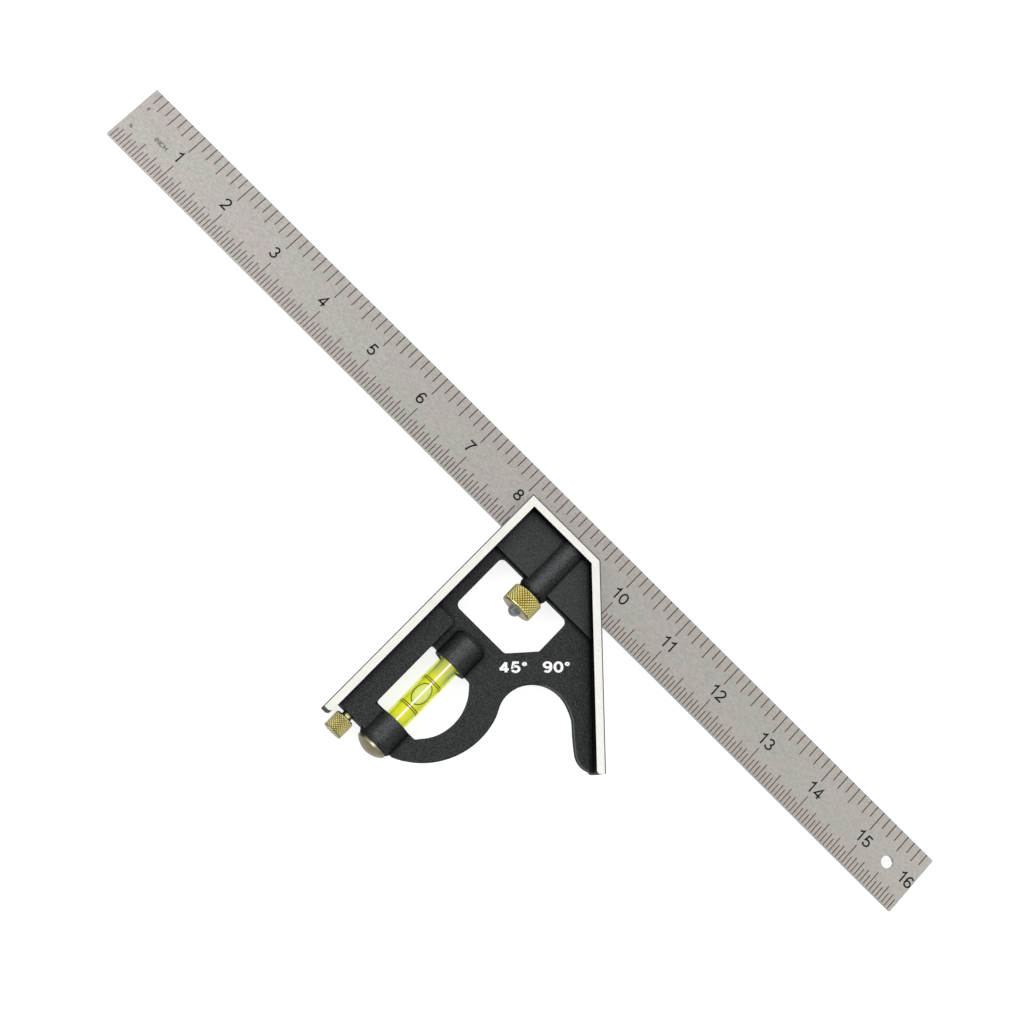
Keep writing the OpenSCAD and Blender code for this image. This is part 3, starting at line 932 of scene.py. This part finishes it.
def make_angle_marking():
    """The two angles the head gives, printed in white on the web along 45 degrees."""
    height, stroke, widen = 3.75, 0.80, 1.26
    ring_stroke = 0.55
    angle = math.radians(45)
    along = Vector((math.cos(angle), math.sin(angle)))
    up = Vector((-math.sin(angle), math.cos(angle)))
    middle = Vector((44.7, -28.9))
    bars = ([(0.52, 0.0), (0.52, 0.97)], [(0.03, 0.29), (0.74, 0.29)], [(0.53, 0.95), (0.08, 0.29)])
    glyphs = {**GLYPHS, "4": (0.76, [(bar, False) for bar in bars])}
    rows, x = [], 0.0  # rows are (start, points, closed, stroke)
    for char in "45\u00b0  90\u00b0":
        if char == " ":
            x += 0.62 * height
        elif char == "\u00b0":
            rows.append((x + 0.02 * height, *loop(0.17, 0.80, 0.125, 0.125, 18), ring_stroke))
            x += 0.42 * height
        else:
            width, strokes = glyphs[char]
            rows += [(x, points, closed, stroke) for points, closed in strokes]
            x += (width + 0.17) * height
    total = x

    verts, faces = [], []
    for order, (start, points, closed, thick) in enumerate(rows):
        # neighbouring strokes lie at different heights, so that no two faces share a plane
        top = WEB_Z + 0.030 + 0.004 * (order % 4)

        def place(q):
            run = along * (start + q.x * height - total / 2) * widen
            return middle + run + up * (q.y * height - height / 2)

        for quad in stroke_quads(points, closed, thick / height, place):
            add_prism(verts, faces, quad, top, WEB_Z - 0.03)
    obj = mesh_from("angle_marking", verts, faces, smooth=False)
    obj.data.materials.append(make_printed_white())
    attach(obj, "head")


make_angle_marking()

# ---------------------------------------------------------------- level vial materials

VIAL = turned_box("vial_body")
bubble_lo, bubble_hi = box_mm("vial_bubble")
BUBBLE_X = (bubble_lo.x + bubble_hi.x) / 2
BUBBLE_Y = (bubble_lo.y + bubble_hi.y) / 2
BUBBLE_HALF_X = 3.1
BUBBLE_HALF_Y = (bubble_hi.y - bubble_lo.y) / 2
FLUID_R = 3.40  # the liquid's drawn surface, just under the bubble's crown
RING_CENTRES = (-59.05, -59.83, -71.05, -71.83)  # Y of the gauge lines


def make_acrylic():
    """Clear tube over index matched liquid: it tints a little, and mirrors the softbox."""
    net = Net("clear_acrylic")
    x, z = net.position("XZ")
    r = net.hypot(x - VIAL.x, z - VIAL.z)
    inner = net.below(r, VIAL.radius - 0.3)
    scuff = net.noise(detail=3, rough=0.7, vector=net.stretch(3, 0.25, 3))
    haze = net.noise(scale=0.5, detail=3, rough=0.6)
    facing = net.facing()
    tint = net.mix(net.remap(facing, lo=0.18, hi=0.40), (0.985, 1.0, 0.90), (0.86, 0.885, 0.42))
    tint = net.layer(tint, net.remap(facing, lo=0.55, hi=0.95), (0.93, 0.94, 0.72))
    gloss = net.node("ShaderNodeBsdfGlossy", {
        "Color": (1, 1, 1, 1),
        "Roughness": haze * 0.06 + 0.02,
        "Normal": net.bump(scuff, depth=0.004, strength=0.5),
    })
    fresnel = net.node("ShaderNodeFresnel", {"IOR": 1.42})
    # seen edge on, the tube passes the light behind it rather than mirroring the black casting
    face_on = net.remap(facing, lo=0.30, hi=0.60, to_lo=1.0, to_hi=0.05)
    shell = net.mix_shaders(fresnel * (face_on * 0.8), net.clear(tint), gloss)
    # painted reflection: a long narrow softbox overhead, drawn as one glowing line by emission
    mirror_x, mirror_y, mirror_z = net.mirror("XYZ")
    lean = net.math("ARCTAN2", mirror_x, mirror_z)
    tilt = net.math("ARCTAN2", mirror_y, mirror_z)
    softbox = net.band(lean, lo=-0.17, hi=0.17, soft=0.075)
    softbox = softbox * net.band(tilt, lo=-0.35, hi=0.75, soft=0.04) * net.above(mirror_z, 0.2)
    line = softbox * (net.remap(scuff, lo=0.3, hi=0.6) * 0.2 + 0.80)
    glow = net.node("ShaderNodeEmission", {"Color": (1.0, 1.0, 0.97, 1), "Strength": 1.05})
    lit = net.mix_shaders(line, shell, glow)
    return net.finish(net.mix_shaders(inner, lit, net.clear((1, 1, 1, 1))))


def make_fluid():
    """Dyed spirit, yellow in its middle and greener to its sides, with painted light: the grading
    follows the view angle, and the liquid glows.
    """
    net = Net("dyed_spirit")
    [y] = net.position("Y")
    swirl = net.noise(detail=3, rough=0.55, vector=net.stretch(0.9, 0.10, 0.9))
    drift = net.noise(scale=0.16, detail=2, rough=0.5)
    # painted light: the colour follows the view angle, in place of the refraction through the tube
    side = net.facing() + (swirl - 0.5) * 0.22
    col = net.mix(net.remap(side, lo=0.015, hi=0.12), (0.94, 0.80, 0.020), (0.765, 0.765, 0.014))
    col = net.layer(col, net.remap(side, lo=0.15, hi=0.45), (0.70, 0.755, 0.016))
    col = net.layer(col, net.remap(side, lo=0.50, hi=0.85), (0.71, 0.77, 0.11))
    col = net.layer(col, net.remap(drift, lo=0.45, hi=0.7), (0.60, 0.71, 0.03), amount=0.35)
    # less light gets in under the upper boss, so the dye reads dull green there
    end = net.remap(y, lo=VIAL.high - 13.6, hi=VIAL.high - 9.0)
    end = end * (net.remap(side, lo=0.1, hi=0.6) * 0.6 + 0.4)
    col = net.layer(col, end, (0.30, 0.36, 0.20))
    # painted shade: greener again towards the lower boss
    col = net.layer(col, net.remap(y, lo=-77.0, hi=-79.6), (0.42, 0.52, 0.02), amount=0.5)
    # painted light: the colour is also given as emission, so the liquid glows
    dimmed = net.mix(0.5, col, (0, 0, 0))
    return net.surface(color=dimmed, rough=0.4, spec=0.0, emit=col, emit_power=0.50)


def make_ring_paint():
    """Paint wiped into the gauge grooves: full in each middle, thinning to clear at its lips."""
    net = Net("gauge_ring_paint")
    [y] = net.position("Y")
    off = abs(y - RING_CENTRES[0])
    for centre in RING_CENTRES[1:]:
        off = net.math("MINIMUM", off, abs(y - centre))
    worn = net.noise(scale=1.4, detail=3, rough=0.6)
    col = net.mix(worn, (0.012, 0.018, 0.008), (0.030, 0.042, 0.016))
    paint = net.principled(color=col, rough=worn * 0.25 + 0.35, spec=0.2)
    thin = net.remap(off + (worn - 0.5) * 0.03, lo=0.10, hi=0.155)
    # at the tube's clear outer edge the line is lost in the acrylic
    thin = net.maxi(thin, net.remap(net.facing(), lo=0.42, hi=0.62))
    return net.finish(net.mix_shaders(thin, paint, net.clear((0.95, 0.97, 0.70, 1))))


def make_air():
    """A clear lens against the dyed liquid, with a painted dark green line round its rim in place
    of the refraction there.
    """
    net = Net("air_bubble")
    x, y = net.position("XY")
    across = net.math("DIVIDE", x - BUBBLE_X, BUBBLE_HALF_X)
    along = net.math("DIVIDE", y - BUBBLE_Y, BUBBLE_HALF_Y)
    out = net.hypot(across, along)
    # painted light: the colour follows the view angle
    facing = net.remap(net.facing(), lo=0.02, hi=0.35)
    wobble = net.noise(scale=0.8, detail=3, rough=0.5)
    col = net.mix(facing, (0.76, 0.77, 0.15), (0.70, 0.765, 0.22))
    col = net.layer(col, net.remap(wobble, lo=0.35, hi=0.65), (0.80, 0.84, 0.40), amount=0.6)
    # painted shade: the colour greens towards the outline, and a dark green line is drawn round it
    col = net.layer(col, net.remap(out, lo=0.60, hi=0.90), (0.60, 0.70, 0.12))
    rim = net.above(out, 0.915, soft=0.02)
    col = net.layer(col, rim, (0.022, 0.055, 0.005))
    # painted light: the bubble glows by emission, less on the dark line
    power = net.lerp(rim, 0.50, 0.05)
    dimmed = net.mix(0.5, col, (0, 0, 0))
    return net.surface(color=dimmed, rough=0.3, spec=0.0, emit=col, emit_power=power)


def make_plain(name, base, cloudy, spots, rough, bump, metal=0.0):
    """A general finish: two tones clouded together, fine spots, and its own grain.

    rough is the pair of roughnesses that the grain runs between.
    """
    net = Net(name)
    cloud = net.noise(scale=0.35, detail=4, rough=0.6)
    fine = net.noise(scale=3.5, detail=4, rough=0.65)
    col = net.mix(net.remap(cloud, lo=0.3, hi=0.7), base, cloudy)
    col = net.layer(col, net.remap(fine, lo=0.55, hi=0.8), spots, amount=0.2)
    low, high = rough
    normal = net.bump(fine, depth=bump, strength=0.7)
    return net.surface(color=col, metal=metal, rough=fine * (high - low) + low, normal=normal)


def make_turned_steel(name, cx, base, cloudy, rough, metal=0.95):
    """Turned steel: fine lathe rings round an axis at x = cx, z = 0."""
    net = Net(name)
    x, y, z = net.position("XYZ")
    r = net.hypot(x - cx, z - 0.0)
    rings = net.noise(detail=3, rough=0.6, vector=net.vec(r * 5.0, y * 9.0, 0.0))
    cloud = net.noise(scale=0.9, detail=4, rough=0.6)
    col = net.mix(net.remap(cloud, lo=0.35, hi=0.7), base, cloudy)
    col = net.layer(col, net.remap(rings, lo=0.5, hi=0.8), (0.45, 0.46, 0.48), amount=0.35)
    bump = net.bump(rings, depth=0.01, strength=0.7)
    return net.surface(color=col, metal=metal, rough=cloud * 0.15 + rough, normal=bump)


def make_cap_material():
    """Satin pressed brass in a tan grey, with painted reflections: dark low down and beside the
    crown, and one painted soft light at the crown.
    """
    net = Net("satin_brass_cap")
    x, y, z = net.position("XYZ")
    mirror_x, mirror_z = net.mirror("XZ")
    r = net.hypot(x - turned_box("vial_cover_cap").x, z)
    tarnish = net.noise(scale=0.55, detail=4, rough=0.62)
    fine = net.noise(scale=6.0, detail=3, rough=0.6)
    rings = net.noise(detail=2, rough=0.5, vector=net.vec(r * 8.0, y * 0.4, 0.0))
    col = net.mix(net.remap(tarnish, lo=0.35, hi=0.68), (0.36, 0.315, 0.20), (0.265, 0.235, 0.165))
    col = net.layer(col, net.remap(fine, lo=0.5, hi=0.8), (0.12, 0.105, 0.07), amount=0.30)
    # the room reads dark low down and light overhead
    room = net.remap(mirror_z + fine * 0.08, lo=0.10, hi=0.55, to_lo=0.62, to_hi=0.0)
    col = net.layer(col, room, (0.085, 0.075, 0.045))
    overhead = net.above(mirror_z, 0.42, soft=0.22)
    glint = overhead * net.band(mirror_x, lo=-0.30, hi=0.34, soft=0.22)
    col = net.layer(col, glint, (0.98, 0.92, 0.68), amount=0.85)
    # painted reflection: darker to each side of the painted glint
    overhead = net.above(mirror_z, 0.42, soft=0.22)
    beside = overhead * (1.0 - net.band(mirror_x, lo=-0.30, hi=0.34, soft=0.22))
    col = net.layer(col, beside, (0.13, 0.11, 0.065), amount=0.6)
    rough = fine * 0.12 + (tarnish * 0.08 + 0.27)
    bump = net.bump(rings * 0.7 + fine, depth=0.010, strength=0.6)
    return net.surface(color=col, metal=0.9, rough=rough, normal=bump)


# ---------------------------------------------------------------- bubble and liquid


def bubble_point(t, angle, upper):
    """A point of the bubble's crown or belly, t of the way out to its outline."""
    crown, belly = 3.54, 1.45  # heights above the vial's axis
    if not upper:
        # rings crowd towards the rim, so that its turn is round
        t = math.sin(t * math.pi / 2)
    dx = BUBBLE_HALF_X * t * math.cos(angle)
    dy = BUBBLE_HALF_Y * t * math.sin(angle)
    top = math.sqrt(crown * crown - dx * dx)
    if upper:
        height = top - 0.16 * max(0.0, (t - 0.86) / 0.14) ** 2
    else:
        rim = math.sqrt(crown * crown - (BUBBLE_HALF_X * math.cos(angle)) ** 2) - 0.18
        height = min(belly + (rim - belly) * t ** 2.4, top - 0.06)
    return BUBBLE_X + dx, BUBBLE_Y + dy, VIAL.z + height


def make_bubble():
    """A long air bubble whose crown follows the tube's bore; its belly lies in the liquid."""
    rings, segs = 20, 72
    verts, faces = [], []
    # the belly stops one ring short and joins the crown's outermost ring
    for upper, last in ((True, rings), (False, rings - 1)):
        verts.append(bubble_point(0.0, 0.0, upper))
        for i in range(1, last + 1):
            for k in range(segs):
                verts.append(bubble_point(i / rings, 2 * math.pi * k / segs, upper))
    belly = 1 + rings * segs  # index of the belly's middle point
    for k in range(segs):
        k2 = (k + 1) % segs
        faces.append((0, 1 + k, 1 + k2))
        faces.append((belly, belly + 1 + k2, belly + 1 + k))
        for i in range(rings - 1):
            a, b = 1 + i * segs, 1 + (i + 1) * segs
            faces.append((a + k, b + k, b + k2, a + k2))
        for i in range(rings - 2):
            a, b = belly + 1 + i * segs, belly + 1 + (i + 1) * segs
            faces.append((a + k, a + k2, b + k2, b + k))
        a, b = belly + 1 + (rings - 2) * segs, 1 + (rings - 1) * segs
        faces.append((a + k, a + k2, b + k2, b + k))
    obj = mesh_from("vial_air_bubble", verts, faces)
    face_outward(obj)
    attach(obj, "bubble")
    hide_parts("vial_bubble")
    obj.data.materials.append(make_air())


def make_fluid_piece():
    """The liquid as one filled rod with rounded ends, inside the tube's bore."""
    lo, hi = box_mm("vial_fluid")
    R = FLUID_R
    rows = [(hi.y, 0.02, 0)]
    rows += corner_rows((hi.y, R - 0.9), (hi.y - 0.9, R), (hi.y, R), 8)
    rows += corner_rows((lo.y + 0.3, R), (lo.y, R - 0.3), (lo.y, R), 5)
    rows.append((lo.y, 0.02, 0))
    obj = lathe_piece("vial_dyed_spirit", VIAL.x, VIAL.z, rows, 96)
    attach(obj, "head")
    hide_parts("vial_fluid")
    obj.data.materials.append(make_fluid())


wear(nodes["vial_body"], make_acrylic())
wear(nodes["vial_end_plug"], make_plain(
    "cast_acrylic_plug", base=(0.75, 0.82, 0.45), cloudy=(0.68, 0.78, 0.38),
    spots=(0.5, 0.6, 0.2), rough=(0.15, 0.4), bump=0.01,
))
wear(nodes["vial_gauge_rings"], make_ring_paint())
for level in ("upper", "lower"):
    wear(nodes[f"vial_bedding_{level}"], make_plain(
        f"bedding_plaster_{level}", base=(0.80, 0.79, 0.73), cloudy=(0.88, 0.87, 0.82),
        spots=(0.6, 0.58, 0.52), rough=(0.7, 0.95), bump=0.05,
    ))
wear(nodes["scriber_sleeve"], make_plain(
    "friction_sleeve", base=(0.02, 0.02, 0.022), cloudy=(0.03, 0.03, 0.032),
    spots=(0.06, 0.06, 0.06), rough=(0.5, 0.8), bump=0.03,
))
wear(nodes["lock_bolt"], make_turned_steel(
    "blackened_bolt_steel", turned_box("lock_bolt").x, base=(0.155, 0.180, 0.190),
    cloudy=(0.30, 0.335, 0.345), rough=0.40, metal=0.6,
))
wear(nodes["scriber_needle"], make_turned_steel(
    "hardened_needle_steel", turned_box("scriber_needle").x, base=(0.34, 0.34, 0.36),
    cloudy=(0.46, 0.46, 0.47), rough=0.2,
))
wear(nodes["lock_spring"], make_plain(
    "spring_wire", base=(0.42, 0.42, 0.43), cloudy=(0.52, 0.52, 0.52),
    spots=(0.25, 0.24, 0.24), rough=(0.2, 0.45), bump=0.005, metal=0.95,
))
wear(nodes["vial_cover_cap"], make_cap_material())
make_bubble()
make_fluid_piece()

EDGE_WIDTHS = {
    "lock_bolt": 0.12,
    "vial_cover_cap": 0.42,
    "scriber_needle": 0.04,
    "vial_bedding_upper": 0.1,
    "vial_bedding_lower": 0.1,
    "scriber_sleeve": 0.08,
    "vial_end_plug": 0.08,
}
for name, width in EDGE_WIDTHS.items():
    soften(nodes[name], width, angle=40)

# ---------------------------------------------------------------- stage, light, camera

FLOOR_RADIUS = 30  # metres
FLOOR_DROP = 0.00005  # metres below the lowest piece
VIEW_TARGET = (-0.95, 6.7, 0)
VIEW_DISTANCE = 654
VIEW_WIDTH = 378.25  # what the picture spans at the target
VIEW_TILT = math.radians(14.1)  # from straight down towards -Y
VIEW_ROLL = math.radians(44.84)


def make_paper():
    net = Net("studio_paper")
    cloud = net.noise(scale=0.01, detail=3, rough=0.5)
    fine = net.noise(scale=0.9, detail=4, rough=0.6)
    paper = net.principled(
        color=net.mix(cloud, (0.46, 0.46, 0.465), (0.49, 0.49, 0.49)),
        rough=0.85,
        spec=0.15,
        normal=net.bump(fine, depth=0.02, strength=0.3),
        emit=(1, 1, 1, 1),
        emit_power=0.78,
    )
    # looked up at from beneath, the paper is clear and the tool's underside shows
    under = net.node("ShaderNodeNewGeometry", output="Backfacing")
    return net.finish(net.mix_shaders(under, paper, net.clear((1, 1, 1, 1))))


def make_floor():
    paper = make_paper()
    bm = bmesh.new()
    bmesh.ops.create_circle(bm, cap_ends=True, radius=FLOOR_RADIUS, segments=96)
    for vert in bm.verts:
        vert.co.z = cad_lo.z - FLOOR_DROP
    mesh = bpy.data.meshes.new("floor")
    bm.to_mesh(mesh)
    bm.free()
    obj = new_object("floor", mesh)
    mesh.materials.append(paper)


def make_world():
    world = bpy.data.worlds.new("soft_studio")
    bpy.context.scene.world = world
    world.use_nodes = True
    tree = world.node_tree
    tree.nodes.clear()
    out = tree.nodes.new("ShaderNodeOutputWorld")
    background = tree.nodes.new("ShaderNodeBackground")
    background.inputs["Strength"].default_value = 0.95
    coords = tree.nodes.new("ShaderNodeTexCoord")
    split = tree.nodes.new("ShaderNodeSeparateXYZ")
    # the room brightens from the horizon to overhead
    ramp = tree.nodes.new("ShaderNodeValToRGB")
    horizon, overhead = ramp.color_ramp.elements
    horizon.color = (0.78, 0.79, 0.80, 1)
    overhead.color = (0.98, 0.98, 0.98, 1)
    # seen directly it is plain white, so that the floor runs on without a horizon
    path = tree.nodes.new("ShaderNodeLightPath")
    plain = tree.nodes.new("ShaderNodeMix")
    plain.data_type = "RGBA"
    plain.inputs[7].default_value = (1.1, 1.1, 1.1, 1)
    for source, target in (
        (coords.outputs["Generated"], split.inputs[0]),
        (split.outputs["Z"], ramp.inputs[0]),
        (path.outputs["Is Camera Ray"], plain.inputs[0]),
        (ramp.outputs[0], plain.inputs[6]),
        (plain.outputs[2], background.inputs["Color"]),
        (background.outputs[0], out.inputs[0]),
    ):
        tree.links.new(source, target)


def make_softbox(name, location, size, power):
    """A square area light aimed at the origin, in metres and watts."""
    light = bpy.data.lights.new(name, "AREA")
    light.shape = "RECTANGLE"
    light.size = light.size_y = size
    light.energy = power
    light.color = (1, 1, 1)
    obj = new_object(name, light)
    obj.location = location
    obj.rotation_mode = "QUATERNION"
    obj.rotation_quaternion = (-Vector(location)).to_track_quat("-Z", "Y")


def make_camera():
    back = Vector((0, -math.sin(VIEW_TILT), math.cos(VIEW_TILT)))
    level_up = Vector((0, math.cos(VIEW_TILT), math.sin(VIEW_TILT)))
    level_right = Vector((1, 0, 0))
    right = math.cos(VIEW_ROLL) * level_right + math.sin(VIEW_ROLL) * level_up
    up = -math.sin(VIEW_ROLL) * level_right + math.cos(VIEW_ROLL) * level_up
    camera = bpy.data.cameras.new("camera")
    camera.sensor_width = 36
    camera.angle = 2 * math.atan(VIEW_WIDTH / 2 / VIEW_DISTANCE)
    camera.clip_start = 0.01
    camera.clip_end = 100
    obj = new_object("camera", camera)
    turn = Matrix((right, up, back)).transposed().to_4x4()
    eye = Vector(VIEW_TARGET) * MM + back * (VIEW_DISTANCE * MM)
    obj.matrix_world = Matrix.Translation(eye) @ turn
    bpy.context.scene.camera = obj


make_floor()
make_world()
make_softbox("key_softbox", location=(-0.9, -0.5, 1.2), size=0.9, power=9.5)
make_softbox("fill_softbox", location=(1.1, 0.5, 1.3), size=1.2, power=4)
make_camera()
bpy.context.scene.view_settings.view_transform = "Standard"
